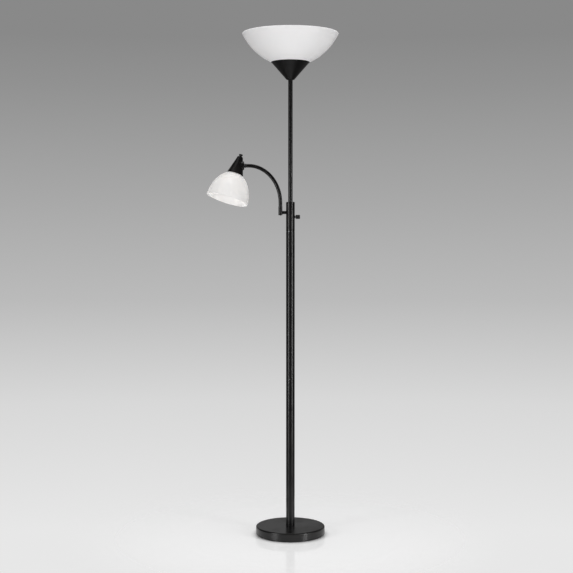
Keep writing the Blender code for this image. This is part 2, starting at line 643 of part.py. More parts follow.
base_pad()
base_cover()
base_weight()
base_hardware()
inlet_grommet()
column()
switch_sleeve()
column_cap()
upper_pole()
switch()
torchiere_head()
arm_bracket()
arm_pivot()
arm_tube()
arm_end()
reading_head()
wiring()
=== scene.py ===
"""Looks of the torchiere floor lamp with its side reading light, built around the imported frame."""
import json
import math
from collections import namedtuple

import bmesh
import bpy
from mathutils import Euler, Matrix, Vector


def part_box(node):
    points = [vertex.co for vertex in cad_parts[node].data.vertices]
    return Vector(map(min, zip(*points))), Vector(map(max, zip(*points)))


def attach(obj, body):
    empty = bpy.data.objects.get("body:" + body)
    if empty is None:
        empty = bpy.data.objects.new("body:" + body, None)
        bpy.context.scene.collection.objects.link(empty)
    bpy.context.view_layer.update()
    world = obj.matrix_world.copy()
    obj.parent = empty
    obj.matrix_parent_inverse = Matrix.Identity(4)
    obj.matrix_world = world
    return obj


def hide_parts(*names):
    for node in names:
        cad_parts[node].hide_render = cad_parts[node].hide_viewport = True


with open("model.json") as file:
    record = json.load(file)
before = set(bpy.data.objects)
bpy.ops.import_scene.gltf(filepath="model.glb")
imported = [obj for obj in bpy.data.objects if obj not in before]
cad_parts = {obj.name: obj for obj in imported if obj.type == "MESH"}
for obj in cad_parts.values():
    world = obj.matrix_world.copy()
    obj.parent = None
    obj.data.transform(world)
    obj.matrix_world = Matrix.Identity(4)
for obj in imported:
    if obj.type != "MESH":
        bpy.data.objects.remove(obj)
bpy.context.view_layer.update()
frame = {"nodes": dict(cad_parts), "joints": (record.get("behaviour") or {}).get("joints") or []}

# ------------------------------------------------------------------ base pad
# A disc of black closed-cell foam, 4 mm thick, die-cut and stuck under the base.
# It is all that touches the floor, so its lower edge is only lightly broken.
FINE = 192                  # steps round the big turned pieces
ROUND = 96                  # steps round the tubes
ARC_STEP = math.radians(15)
CREASE = math.radians(38)   # sharper edges than this stay sharp in the shading

Size = namedtuple("Size", "radius bore foot top")


def measure(node, axis=Matrix(), beyond=0.0):
    """Outer radius, inner radius and ends of a CAD node along an axis, or of what lies beyond a radius."""
    back = axis.inverted()
    spots = [back @ v.co for v in frame["nodes"][node].data.vertices]
    spots = [spot for spot in spots if spot.xy.length >= beyond]
    out = [spot.xy.length for spot in spots]
    high = [spot.z for spot in spots]
    return Size(max(out), min(out), min(high), max(high))


def rounded(*corners):
    """Outline through corners given as (radius, height) or (radius, height, rounding)."""
    points = []
    for i, corner in enumerate(corners):
        here = Vector(corner[:2])
        if len(corner) == 2:
            points.append(here)
            continue
        back = (Vector(corners[i - 1][:2]) - here).normalized()
        ahead = (Vector(corners[(i + 1) % len(corners)][:2]) - here).normalized()
        half = back.angle(ahead) / 2
        centre = here + (back + ahead).normalized() * corner[2] / math.sin(half)
        first = here + back * corner[2] / math.tan(half) - centre
        turn = math.pi - 2 * half
        if first.angle_signed(ahead) > 0:
            turn = -turn
        steps = max(2, math.ceil(abs(turn) / ARC_STEP))
        for step in range(steps + 1):
            angle = turn * step / steps
            points.append(centre + Matrix.Rotation(angle, 2) @ first)
    return points


def skin(name, rings, closed):
    """One mesh through rings of points; a ring of one point closes an end."""
    work = bmesh.new()
    made = [[work.verts.new(point) for point in ring] for ring in rings]
    for low, high in zip(made, made[1:] + made[:1] if closed else made[1:]):
        count = max(len(low), len(high))
        for i in range(count if count > 1 else 0):
            on = (i + 1) % count
            corners = (low[i % len(low)], low[on % len(low)], high[on % len(high)], high[i % len(high)])
            work.faces.new(list(dict.fromkeys(corners)))
    bmesh.ops.recalc_face_normals(work, faces=work.faces)
    mesh = bpy.data.meshes.new(name)
    work.to_mesh(mesh)
    work.free()
    mesh.shade_smooth()
    mesh.set_sharp_from_angle(angle=CREASE)
    return mesh


def turned(name, outline, steps=ROUND, relief=None, axis=Matrix()):
    """A turned piece: its outline goes round an axis, and relief may shape each radius."""
    rings = []
    for radius, height in outline:
        if radius == 0:
            rings.append([(0, 0, height)])
            continue
        ring = []
        for i in range(steps):
            angle = 2 * math.pi * i / steps
            reach = relief(angle, radius, height) if relief else radius
            ring.append((reach * math.cos(angle), reach * math.sin(angle), height))
        rings.append(ring)
    piece = bpy.data.objects.new(name, skin(name, rings, outline[0][0] > 0))
    piece.matrix_world = axis
    bpy.context.scene.collection.objects.link(piece)
    return piece


def fit(piece, body, node, finish):
    """Gives a finished piece its material and its body, and hides the CAD node that it stands for."""
    evened = piece.modifiers.new("Even_shading", "WEIGHTED_NORMAL")
    evened.keep_sharp = True
    piece.data.materials.clear()
    piece.data.materials.append(finish)
    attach(piece, body)
    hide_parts(node)


class Wire:
    """An output in a node tree. Arithmetic on it adds Math nodes."""

    def __init__(self, nodes, socket):
        self.nodes = nodes
        self.socket = socket

    def maths(self, operation, *values):
        return self.nodes.node("ShaderNodeMath", {"operation": operation}, dict(enumerate(values)))

    def __add__(self, other):
        return self.maths("ADD", self, other)

    def __sub__(self, other):
        return self.maths("SUBTRACT", self, other)

    def __mul__(self, other):
        return self.maths("MULTIPLY", self, other)

    def __rsub__(self, other):
        return self.maths("SUBTRACT", other, self)

    __radd__ = __add__
    __rmul__ = __mul__


class Nodes:
    """A node tree that is being wired."""

    def __init__(self, tree):
        self.tree = tree

    def node(self, kind, settings=None, sockets=None, output=0):
        """Adds one node: its settings first, then the values or wires of its sockets."""
        made = self.tree.nodes.new(kind)
        for key, value in (settings or {}).items():
            if key == "stops":
                for stop, (place, colour) in zip(made.color_ramp.elements, value):
                    stop.position = place
                    stop.color = colour
                for place, colour in value[2:]:
                    made.color_ramp.elements.new(place).color = colour
            else:
                setattr(made, key, value)
        self.feed(made, sockets or {})
        return Wire(self, made.outputs[output])

    def feed(self, made, sockets):
        """Sets or links a node's sockets."""
        for key, value in sockets.items():
            if isinstance(value, Wire):
                self.tree.links.new(value.socket, made.inputs[key])
            else:
                made.inputs[key].default_value = value

    def coordinates(self):
        return self.node("ShaderNodeTexCoord", output="Object")

    def noise(self, scale, detail=2.0, stretch=(1, 1, 1)):
        """Noise from 0 to 1 with scale features in a metre, finer along the stretched axes."""
        where = self.node("ShaderNodeVectorMath", {"operation": "MULTIPLY"},
                          {0: self.coordinates(), 1: stretch})
        return self.node("ShaderNodeTexNoise", None, {"Vector": where, "Scale": scale, "Detail": detail})

    def smooth(self, value, start, end):
        """Goes from 0 at start to 1 at end."""
        return self.node("ShaderNodeMapRange", {"interpolation_type": "SMOOTHSTEP"},
                         {"Value": value, "From Min": start, "From Max": end})

    def blend(self, share, plain, other):
        """A mix of two colours."""
        return self.node("ShaderNodeMix", {"data_type": "RGBA"}, {0: share, 6: plain, 7: other}, 2)

    def bump(self, height, depth):
        """A normal from a height of 0 to 1, depth metres deep."""
        return self.node("ShaderNodeBump", None, {"Height": height, "Distance": depth, "Strength": 1.0})


class Finish(Nodes):
    """A surface around one Principled shader. Constants go straight on its sockets."""

    def __init__(self, name, **constants):
        self.material = bpy.data.materials.new(name)
        self.material.use_nodes = True
        super().__init__(self.material.node_tree)
        self.shader = self.tree.nodes["Principled BSDF"]
        self.set(**constants)

    def set(self, **sockets):
        """Shader sockets by name, with _ for each space."""
        self.feed(self.shader, {key.replace("_", " "): value for key, value in sockets.items()})
        return self.material


def colour(red, green, blue):
    return (red, green, blue, 1.0)


def foam():
    """Closed-cell foam: tiny open skins of cut cells, dull and slightly dusty."""
    paint = Finish("pad_foam")
    where = paint.coordinates()
    cells = paint.node("ShaderNodeTexVoronoi", {"feature": "F1"}, {"Vector": where, "Scale": 1400.0})
    dust = paint.noise(60, 4)
    return paint.set(Base_Color=paint.blend(dust, colour(.011, .011, .012), colour(.024, .023, .022)),
                     Roughness=0.78 + 0.16 * cells, Normal=paint.bump(cells, 0.0002))


pad = measure("base_pad")
pad_edge = 0.0006
outline = rounded((0, pad.top), (pad.radius, pad.top, pad_edge), (pad.radius, pad.foot, pad_edge),
                  (0, pad.foot))
fit(turned("foam_pad", outline, FINE), "stand", "base_pad", foam())

# ------------------------------------------------------------------ base cover
# A shell stamped from 1 mm steel sheet with a rounded shoulder and a hem curled in at its foot.
# It is powder-coated satin black, and the column's stud clamps it down on the weight.
SMALL = 64                  # steps round the hardware
SPUN = (1, 1, 40)           # lines that run round the piece
DRAWN = (40, 40, 1)         # lines that run along it


def powder_coat(name, lay, depth=0.000012):
    """Satin black powder coat over steel. lay stretches the faint lines of the metal under it."""
    paint = Finish(name, Metallic=0.0, IOR=1.5, Specular_IOR_Level=0.42)
    peel = paint.noise(420, 3)
    grit = paint.noise(2600, 2)
    lines = paint.noise(30, 3, lay)
    handling = paint.smooth(paint.noise(14, 5), 0.42, 0.68)
    dark = colour(.0050, .0048, .0050)
    worn = colour(.0105, .0098, .0094)
    return paint.set(Base_Color=paint.blend(0.35 * lines + 0.65 * handling, dark, worn),
                     Roughness=0.26 + 0.08 * peel + 0.06 * handling,
                     Normal=paint.bump(0.55 * peel + 0.30 * grit + 0.15 * lines, depth))


def drill(piece, radius, reach, axis):
    """Cuts a round hole through a piece, as long as reach each way along an axis."""
    tool = turned("drill", [(0, -reach), (radius, -reach), (radius, reach), (0, reach)], SMALL, axis=axis)
    hole = piece.modifiers.new("Hole", "BOOLEAN")
    hole.object = tool
    settle(piece)
    bpy.data.objects.remove(tool, do_unlink=True)
    return piece


def settle(piece):
    """Turns a piece's modifiers into its mesh."""
    bpy.context.view_layer.update()
    mesh = bpy.data.meshes.new_from_object(piece.evaluated_get(bpy.context.evaluated_depsgraph_get()))
    mesh.shade_smooth()
    mesh.set_sharp_from_angle(angle=CREASE)
    piece.modifiers.clear()
    piece.data = mesh


sheet = 0.0010
shoulder = 0.0050
hem = 0.0022
grommet_height = 0.0130
grommet_hole = 0.0041
through_wall = 0.0060       # reach of a drill that passes one wall of a shell or a tube
cover = measure("base_cover")
grommet_place = Matrix.Translation((0, cover.radius, grommet_height))
grommet_axis = grommet_place @ Matrix.Rotation(-math.pi / 2, 4, "X")
outline = rounded((cover.bore, cover.top), (cover.radius, cover.top, shoulder),
                  (cover.radius, cover.foot, 0.0009), (cover.radius - hem, cover.foot, 0.0004),
                  (cover.radius - hem, cover.foot + sheet, 0.0003),
                  (cover.radius - sheet, cover.foot + sheet + 0.0004, 0.0006),
                  (cover.radius - sheet, cover.top - sheet, shoulder - sheet),
                  (cover.bore, cover.top - sheet))
base = drill(turned("stamped_cover", outline, FINE), grommet_hole, through_wall, grommet_axis)
fit(base, "stand", "base_cover", powder_coat("coat_on_cover", (9, 9, 9), 0.000016))

# ------------------------------------------------------------------ inlet grommet
# A soft black bushing snapped into the hole at the back of the cover, where the supply lead goes in.
# It has a rounded flange outside and a collar inside that holds it in the sheet.


def moulded(name, dark, light, roughness, grain=900, depth=0.00001):
    """Moulded plastic: even colour with faint flow marks and a fine satin grain."""
    paint = Finish(name)
    flow = paint.noise(70, 4)
    pores = paint.noise(grain, 3)
    return paint.set(Base_Color=paint.blend(flow, dark, light), Roughness=roughness + 0.12 * (pores - 0.5),
                     Normal=paint.bump(pores, depth))


black_moulding = moulded("black_moulding", colour(.010, .010, .011), colour(.019, .018, .018), 0.42)
bush = measure("inlet_grommet", grommet_axis)
neck = 0.0037
flange_foot = 0.0003
collar_top = -0.0019
outline = rounded((bush.bore, bush.top, 0.0006), (bush.radius, bush.top, 0.0011),
                  (bush.radius, flange_foot, 0.0003), (neck, flange_foot), (neck, collar_top),
                  (bush.radius - 0.0006, collar_top, 0.0003), (neck + 0.0005, bush.foot, 0.0004),
                  (bush.bore, bush.foot, 0.0004))
fit(turned("lead_grommet", outline, SMALL, axis=grommet_axis), "stand", "inlet_grommet",
    black_moulding)

# ------------------------------------------------------------------ weight and its fixings
# A rough cast disc hidden in the cover, and the zinc-plated stud, washer and nut that clamp it.
# These keep the solids of the frame and get the finish of the real metal.


def sand_casting():
    """Unpainted iron as cast: grey, pitted, with a bloom of rust."""
    paint = Finish("cast_iron")
    pits = paint.noise(500, 5)
    rust = paint.smooth(paint.noise(45, 6), 0.52, 0.74)
    return paint.set(Base_Color=paint.blend(rust, colour(.075, .074, .073), colour(.115, .052, .026)),
                     Metallic=0.7 * (1 - rust), Roughness=0.60 + 0.30 * pits,
                     Normal=paint.bump(pits, 0.0004))


def plated(name, plain, stained, roughness, lay):
    """Plated or bare turned metal with fine tool lines and a faint stain."""
    paint = Finish(name, Metallic=1.0)
    stain = paint.smooth(paint.noise(90, 4), 0.45, 0.75)
    lines = paint.noise(60, 3, lay)
    return paint.set(Base_Color=paint.blend(stain, plain, stained),
                     Roughness=roughness + 0.14 * stain + 0.10 * lines, Normal=paint.bump(lines, 0.000012))


def refinish(material, *nodes):
    """Gives nodes that keep their CAD shape a better finish."""
    for node in nodes:
        frame["nodes"][node].material_slots[0].material = material


zinc = plated("bright_zinc", colour(.62, .64, .67), colour(.50, .52, .50), 0.26, SPUN)
refinish(sand_casting(), "base_weight")
refinish(zinc, "base_washer", "base_nut", "base_stud", "column_foot_insert", "column_coupler",
         "sleeve_coupler", "upper_nipple", "cup_locknut", "bracket_nut", "pivot_ring", "swivel_nipple",
         "swivel_spring_washer", "swivel_nut", "reading_nipple")

# ------------------------------------------------------------------ column
# Two steel tubes of 31 mm, screwed together end to end over a coupler inside them.
# Their ends are lightly broken, so that each joint shows as a fine dark seam.
tube_coat = powder_coat("coat_on_tube", DRAWN)
tube_wall = 0.0010
broken_edge = 0.0004


def pipe(name, node, steps=ROUND):
    """A straight tube in place of a CAD node."""
    size = measure(node)
    bore = size.radius - tube_wall
    outline = rounded((size.radius, size.top, broken_edge), (size.radius, size.foot, broken_edge),
                      (bore, size.foot), (bore, size.top))
    return turned(name, outline, steps)


for name, node in (("lower_tube", "column_lower_tube"), ("upper_tube", "column_upper_tube")):
    fit(pipe(name, node), "stand", node, tube_coat)

# ------------------------------------------------------------------ switch sleeve
# A short tube that ends the column. It is drilled on its right for the switch and on its left
# for the reading arm's stub, and painted with the column.
sleeve = measure("switch_sleeve")
knob_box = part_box("switch_knob")
switch_height = (knob_box[0].z + knob_box[1].z) / 2
switch_axis = Matrix.Translation((0, 0, switch_height)) @ Matrix.Rotation(math.pi / 2, 4, "Y")
bracket_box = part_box("bracket_nut")
stub_height = (bracket_box[0].z + bracket_box[1].z) / 2
stub_axis = Matrix.Translation((0, 0, stub_height)) @ Matrix.Rotation(math.pi / 2, 4, "Y")
switch_hole = 0.0039
stub_hole = 0.0049
short_tube = pipe("sleeve", "switch_sleeve")
drill(short_tube, switch_hole, through_wall, Matrix.Translation((sleeve.radius, 0, 0)) @ switch_axis)
drill(short_tube, stub_hole, through_wall, Matrix.Translation((-sleeve.radius, 0, 0)) @ stub_axis)
fit(short_tube, "stand", "switch_sleeve", tube_coat)

# ------------------------------------------------------------------ column cap and upper pole
# A turned steel reducer closes the sleeve, and the thin pole stands in its socket.
# The pole is a 16 mm tube, painted like the column.
gap = 0.0003                # clearance between pieces that touch
cap = measure("column_cap")
pole = measure("upper_pole")
spigot = sleeve.radius - tube_wall - gap
seat = sleeve.top + gap
pole_socket = pole.radius + gap
socket_foot = pole.foot - gap
outline = rounded((pole_socket, cap.top, 0.0003), (cap.radius, cap.top, 0.0009),
                  (cap.radius, seat, 0.0003), (spigot, seat), (spigot, cap.foot), (cap.bore, cap.foot),
                  (cap.bore, socket_foot), (pole_socket, socket_foot))
fit(turned("reducer_cap", outline), "stand", "column_cap", tube_coat)
fit(pipe("thin_pole", "upper_pole", steps=SMALL), "stand", "upper_pole", tube_coat)

# ------------------------------------------------------------------ rotary switch
# A phenolic switch block inside the sleeve, held by a chamfered nut on its bushing.
# A fluted black knob is pushed on its moulded shaft and turns without a stop.
phenolic = moulded("phenolic", colour(.012, .010, .009), colour(.030, .024, .021), 0.24, 500, 0.000008)
brass = plated("brass", colour(.78, .57, .24), colour(.52, .36, .16), 0.24, SPUN)
refinish(phenolic, "switch_body", "switch_shaft")

nut = measure("switch_nut", switch_axis)
nut_across = 0.0100         # over its flats
nut_corner = nut_across / math.sqrt(3)
nut_face = nut_across / 2 - 0.0002
nut_chamfer = 0.0006
outline = [(switch_hole, nut.top), (nut_face, nut.top), (nut_corner, nut.top - nut_chamfer),
           (nut_corner, nut.foot + nut_chamfer), (nut_face, nut.foot), (switch_hole, nut.foot)]


def flats(angle, radius, height):
    """The six flats of a nut, which leave the corners chamfered on both faces."""
    sixth = math.pi / 3
    return min(radius, nut_across / 2 / math.cos((angle + sixth / 2) % sixth - sixth / 2))


fit(turned("bushing_nut", outline, FINE, flats, switch_axis), "stand", "switch_nut",
    plated("blackened_nut", colour(.10, .10, .11), colour(.06, .06, .06), 0.34, SPUN))

knob = measure("switch_knob", switch_axis)
flutes = 16
flute_depth = 0.0007
flute_fade = 0.0016
knob_edge = 0.0006
knob_socket_end = 0.0313
outline = [(0, knob_socket_end), (knob.bore, knob_socket_end), (knob.bore, knob.foot),
           (knob.radius - knob_edge, knob.foot)]
outline += [(knob.radius, knob.foot + knob_edge + 0.0010 * i) for i in range(13)]
outline += rounded((knob.radius, knob.top - 0.0024), (knob.radius - 0.0004, knob.top - 0.0004, 0.0016),
                   (0, knob.top))[1:]


def fluted(angle, radius, height):
    """Flutes round the grip, which run out on the domed end and at the foot."""
    rise = min(1.0, max(0.0, (radius - knob.radius + flute_fade) / flute_fade))
    wave = 0.5 - 0.5 * math.cos(flutes * angle)
    return radius - flute_depth * rise * wave ** 0.7


fit(turned("switch_knob_fluted", outline, FINE, fluted, switch_axis), "knob", "switch_knob",
    black_moulding)

# ------------------------------------------------------------------ torchiere cup
# A cone spun from 0.8 mm steel that carries the bowl, with a rounded rim and a small flat foot.
# Its foot sits on the pole's end, and a locknut inside holds it on the nipple.
cup = measure("torchiere_cup")
cup_wall = 0.0008
foot_radius = 0.0136
slope = (cup.radius - foot_radius) / (cup.top - cup.foot)
wall_across = cup_wall * math.hypot(1, slope)
inner_foot = foot_radius + cup_wall * slope - wall_across
outline = rounded((cup.radius - wall_across, cup.top, 0.0005), (cup.radius, cup.top, 0.0009),
                  (foot_radius, cup.foot, 0.0016), (cup.bore, cup.foot), (cup.bore, cup.foot + cup_wall),
                  (inner_foot, cup.foot + cup_wall, 0.0010))
spun_coat = powder_coat("coat_on_cone", SPUN)
fit(turned("bowl_cup", outline, FINE), "stand", "torchiere_cup", spun_coat)

# ------------------------------------------------------------------ lamp holders
# Each holder is a black phenolic barrel with a flange, and an outside thread for the shade's ring.
# A brass liner with the lamp cap's coarse thread is pressed into it.
CAP_PITCH = 0.00363         # the lamp cap's thread, seven turns to the inch
RING_PITCH = 0.0020
CAP_THREAD = 0.0008         # depth of the rolled thread
barrel = 0.0194
upright = Matrix()


def thread(pitch, depth, low, high):
    """Relief that runs a thread round a wall, and fades out at both its ends."""
    def relief(angle, radius, height):
        fade = min(1.0, max(0.0, min(height - low, high - height) / pitch))
        return radius + depth * fade * 0.5 * math.sin(2 * math.pi * height / pitch - angle)
    return relief


def wall_points(radius, start, end, pitch):
    """Points along a wall, close enough together to carry a thread."""
    steps = math.ceil(abs(end - start) / pitch * 12)
    return [(radius, start + (end - start) * i / steps) for i in range(steps + 1)]


def holder(prefix, body, axis):
    """Barrel and liner of one lamp holder. The axis points out of its mouth."""
    size = measure(prefix + "_socket", axis)
    flange = measure(prefix + "_socket", axis, barrel + 0.001)
    liner = measure(prefix + "_socket_liner", axis)
    foot_r = 0.0120
    barrel_foot = size.foot + 0.0090
    cavity = 0.0152
    cavity_floor = size.foot + 0.0100
    cut = RING_PITCH / 4
    outline = rounded((size.bore, size.foot), (foot_r, size.foot, 0.0010), (barrel, barrel_foot, 0.0030),
                      (barrel, flange.foot, 0.0003), (flange.radius, flange.foot, 0.0005),
                      (flange.radius, flange.top, 0.0005), (barrel - cut, flange.top))
    outline += wall_points(barrel - cut, flange.top + 0.0002, size.top - 0.0004, RING_PITCH)
    outline += [(barrel - 0.0010, size.top), (cavity + 0.0006, size.top), (cavity, size.top - 0.0008),
                (cavity, cavity_floor), (size.bore, cavity_floor)]
    ring_thread = thread(RING_PITCH, 2 * cut, flange.top, size.top)

    def relief(angle, radius, height):
        return ring_thread(angle, radius, height) if radius == barrel - cut else radius

    fit(turned(prefix + "_holder", outline, ROUND, relief, axis), body, prefix + "_socket",
        phenolic)
    middle = CAP_THREAD / 4
    outside = wall_points(liner.radius - middle, liner.foot, liner.top, CAP_PITCH)
    inside = wall_points(liner.bore + middle, liner.top, liner.foot, CAP_PITCH)
    fit(turned(prefix + "_liner", outside + inside, ROUND,
               thread(CAP_PITCH, CAP_THREAD / 2, liner.foot, liner.top), axis),
        body, prefix + "_socket_liner", brass)


def shade_ring(prefix, node, body, axis):
    """Moulded ring with a fluted edge, screwed down on the shade."""
    size = measure(node, axis)
    ribs = 36
    rib_depth = 0.0003
    rib_fade = 0.0006
    outline = rounded((size.bore, size.top, 0.0004), (size.radius, size.top, 0.0009),
                      (size.radius, size.foot, 0.0003), (size.bore, size.foot, 0.0003))

    def relief(angle, radius, height):
        rise = max(0.0, (radius - size.radius + rib_fade) / rib_fade)
        return radius - rib_depth * rise * (1 - math.cos(ribs * angle))

    fit(turned(prefix + "_ring", outline, FINE, relief, axis), body, node, black_moulding)


holder("torchiere", "stand", upright)
shade_ring("torchiere", "bowl_ring", "stand", upright)

# ------------------------------------------------------------------ bulbs
# An opal bulb is an aluminium screw cap, a black glass insulator with a solder contact at its end,
# and a white envelope cemented into the cap.


def bezier(start, lead_out, lead_in, end, count):
    """Points of a smooth curve between two points, with its two handles."""
    points = []
    for i in range(count + 1):
        t = i / count
        weights = ((1 - t) ** 3, 3 * t * (1 - t) ** 2, 3 * t * t * (1 - t), t ** 3)
        knots = (start, lead_out, lead_in, end)
        points.append(tuple(sum(w * knot[axis] for w, knot in zip(weights, knots)) for axis in (0, 1)))
    return points


def cap_metal(name, contact):
    """Rolled aluminium, with the insulator and the solder contact at the cap's end."""
    paint = Finish(name)
    height = paint.node("ShaderNodeSeparateXYZ", None, {0: paint.coordinates()}, "Z") - contact
    shell = paint.smooth(height, 0.0048, 0.0052)
    solder = 1 - paint.smooth(height, 0.0012, 0.0015)
    metal = paint.node("ShaderNodeMath", {"operation": "MAXIMUM"}, {0: shell, 1: solder})
    scuffs = paint.noise(160, 5, SPUN)
    glass = paint.blend(scuffs, colour(.010, .010, .012), colour(.030, .028, .030))
    bright = paint.blend(scuffs, colour(.70, .71, .72), colour(.84, .84, .85))
    return paint.set(Base_Color=paint.blend(metal, glass, bright), Metallic=metal,
                     Roughness=0.16 + 0.22 * scuffs, Normal=paint.bump(scuffs, 0.00001))


def opal_glass(name, glow):
    """Thin glass with a soft white coating inside, lit by the lamp within."""
    paint = Finish(name, Subsurface_Weight=0.3, Subsurface_Radius=(0.004, 0.004, 0.0035),
                   Subsurface_Scale=1.0, Coat_Roughness=0.06, Emission_Strength=glow)
    coating = paint.noise(55, 4)
    return paint.set(Base_Color=paint.blend(coating, colour(.88, .87, .84), colour(.93, .92, .90)),
                     Roughness=0.20 + 0.08 * coating, Coat_Weight=0.45 + 0.1 * coating,
                     Emission_Color=paint.blend(coating, colour(1.0, .96, .92), colour(1.0, .98, .95)),
                     Normal=paint.bump(coating, 0.00003))


def bulb(prefix, body, axis, glow):
    """Screw cap and envelope. The axis points from the contact to the tip."""
    shell = measure(prefix + "_bulb_cap", axis)
    glass = measure(prefix + "_bulb_glass", axis)
    thin = 0.0008           # wall of the cap and of the envelope
    contact_r = 0.0048
    rolled = shell.radius - CAP_THREAD / 2
    shoulder_z = shell.foot + 0.0060
    wall_z = shell.foot + 0.0070
    outline = rounded((0, shell.foot), (contact_r, shell.foot, 0.0009),
                      (contact_r + 0.0008, shell.foot + 0.0015, 0.0005),
                      (0.0100, shell.foot + 0.0046, 0.0010), (rolled, shoulder_z, 0.0006),
                      (rolled, wall_z))[:-1]
    outline += wall_points(rolled, wall_z, shell.top, CAP_PITCH)
    outline += wall_points(rolled - thin, shell.top, wall_z, CAP_PITCH)
    outline.append((0, wall_z - 0.0004))
    rolling = thread(CAP_PITCH, CAP_THREAD, shoulder_z, shell.top - 0.0020)

    def relief(angle, radius, height):
        return rolling(angle, radius, height) if radius > rolled - 0.001 else radius

    fit(turned(prefix + "_cap", outline, ROUND, relief, axis), body, prefix + "_bulb_cap",
        cap_metal(prefix + "_cap_metal", shell.foot))
    neck_r = 0.0110
    neck_top = measure(prefix + "_socket", axis).top
    join = math.radians(-38)
    centre = glass.top - glass.radius
    side = (glass.radius * math.cos(join), centre + glass.radius * math.sin(join))
    along = (-math.sin(join), math.cos(join))
    pull = (side[1] - neck_top) * 0.55
    rows = 30
    outside = [(neck_r, glass.foot)]
    outside += bezier((neck_r, neck_top), (neck_r, neck_top + pull),
                      (side[0] - along[0] * pull, side[1] - along[1] * pull), side, 16)
    outside += [(glass.radius * math.cos(angle), centre + glass.radius * math.sin(angle))
                for angle in (join + (math.pi / 2 - join) * i / rows for i in range(1, rows))]
    outside.append((0, glass.top))
    inside = [(max(radius - thin, 0), height) for radius, height in reversed(outside[:-1])]
    inside.insert(0, (0, glass.top - thin))
    envelope = turned(prefix + "_envelope", outside + inside, ROUND, axis=axis)
    fit(envelope, body, prefix + "_bulb_glass",
        opal_glass(prefix + "_opal_glass", glow))


bulb("torchiere", "stand", upright, glow=0.7)

# ------------------------------------------------------------------ bowl
# A wide bowl moulded in opal white plastic, with a satin surface and a rounded lip.
# It rests on the holder's flange inside the cup, under the ring.


def opal_shade(name, warm, milk, glow):
    """Milky plastic that lets some light through its wall, with a little painted glow that stands in for
    its bulb.
    """
    # Emission on the shade is painted light: a glow for the bulb's light coming through the wall.
    paint = Finish(name, Subsurface_Weight=milk, Subsurface_Radius=(0.0064, 0.0062, 0.0060),
                   Subsurface_Scale=1.0, IOR=1.49, Emission_Color=warm, Emission_Strength=glow)
    cloud = paint.noise(9, 3)
    flow = paint.noise(45, 4, (1, 1, 0.3))
    satin = paint.noise(1100, 2)
    return paint.set(Base_Color=paint.blend(0.6 * cloud + 0.4 * flow, colour(.83, .83, .835), warm),
                     Roughness=0.30 + 0.08 * flow + 0.05 * satin,
                     Normal=paint.bump(0.6 * satin + 0.4 * flow, 0.000014))


def shade(name, node, body, axis, half_r, half_h, centre, wall, finish):
    """A shade of elliptical section round its holder. The axis points out of its mouth."""
    size = measure(node, axis)
    hole = size.bore + wall / 2
    rows = 64
    edge = 0.46 * wall
    walls = []
    for skin_r, skin_h in ((half_r, half_h), (half_r - wall, half_h - wall)):
        lip = math.asin((centre - size.top) / skin_h)
        end = math.acos(hole / skin_r)
        angles = [lip + (end - lip) * i / rows for i in range(rows + 1)]
        walls.append([(skin_r * math.cos(a), centre - skin_h * math.sin(a)) for a in angles])
    outside, inside = walls
    outline = rounded((*outside[-1], 0.0005), *outside[-2:0:-1], (*outside[0], edge), (*inside[0], edge),
                      *inside[1:-1], (*inside[-1], 0.0005))
    fit(turned(name, outline, FINE, axis=axis), body, node, finish)


bowl_half_r = 0.2003        # half axes of the bowl's section, and the height of its centre
bowl_half_h = 0.2343
bowl_centre = 1.9190
bowl_wall = 0.0026
# Its glow is a painted glow on the bowl, for the bulb's light shining through it.
shade("torchiere_bowl", "bowl_shade", "stand", upright, bowl_half_r, bowl_half_h, bowl_centre, bowl_wall,
      opal_shade("opal_bowl", colour(.85, .84, .845), milk=0.6, glow=0.25))

# ------------------------------------------------------------------ arm bracket
# A steel stub through the sleeve, nutted inside, with an upright ferrule brazed to its end.
# A small turned cap closes the ferrule from below.
arm_x = frame["joints"][1]["pos_m"][0]
arm_axis = Matrix.Translation((arm_x, 0, 0))
ferrule = measure("arm_bracket", arm_axis)
ferrule_r = 0.0071
stub_r = 0.0057
stub_thread_r = 0.0046
lead_bore = 0.0032
pivot_bore = 0.0045
chamber = 0.0054
chamber_top = ferrule.foot + 0.0152
stub_start = arm_x + chamber + 0.0004
stub_end = -sleeve.radius + 0.0020
stub_thread_start = arm_x + 0.0150
stub_thread_end = -0.0075
lead_bore_end = 0.0020
braze = 0.0012              # how far the brazed joint flares
trim_reach = 0.02


def merge(piece, tool, operation="UNION"):
    """Joins a tool to a piece, or cuts it away."""
    step = piece.modifiers.new("Merge", "BOOLEAN")
    step.operation = operation
    step.object = tool
    settle(piece)
    bpy.data.objects.remove(tool, do_unlink=True)


def bar(radius, start, end, axis, flare=0.0):
    """A round bar along an axis, flared at its start as brazing leaves it."""
    outline = [(0, start), (radius + flare, start), (radius + flare * 0.35, start + flare * 0.6),
               (radius, start + flare * 1.6), (radius, end), (0, end)]
    return turned("bar", outline if flare else outline[:2] + outline[4:], SMALL, axis=axis)


outline = rounded((pivot_bore, ferrule.top), (ferrule_r, ferrule.top, 0.0007),
                  (ferrule_r, ferrule.foot, 0.0002), (chamber, ferrule.foot), (chamber, chamber_top),
                  (pivot_bore, chamber_top))
bracket = turned("stub_and_ferrule", outline, axis=arm_axis)
stub = bar(stub_r, stub_start, stub_end, stub_axis, braze)
trim = bar(sleeve.radius + gap, stub_height - trim_reach, stub_height + trim_reach, upright)
merge(stub, trim, "DIFFERENCE")
merge(bracket, stub)
merge(bracket, bar(stub_thread_r, stub_thread_start, stub_thread_end, stub_axis))
merge(bracket, bar(lead_bore, arm_x, lead_bore_end, stub_axis), "DIFFERENCE")
fit(bracket, "stand", "arm_bracket", tube_coat)

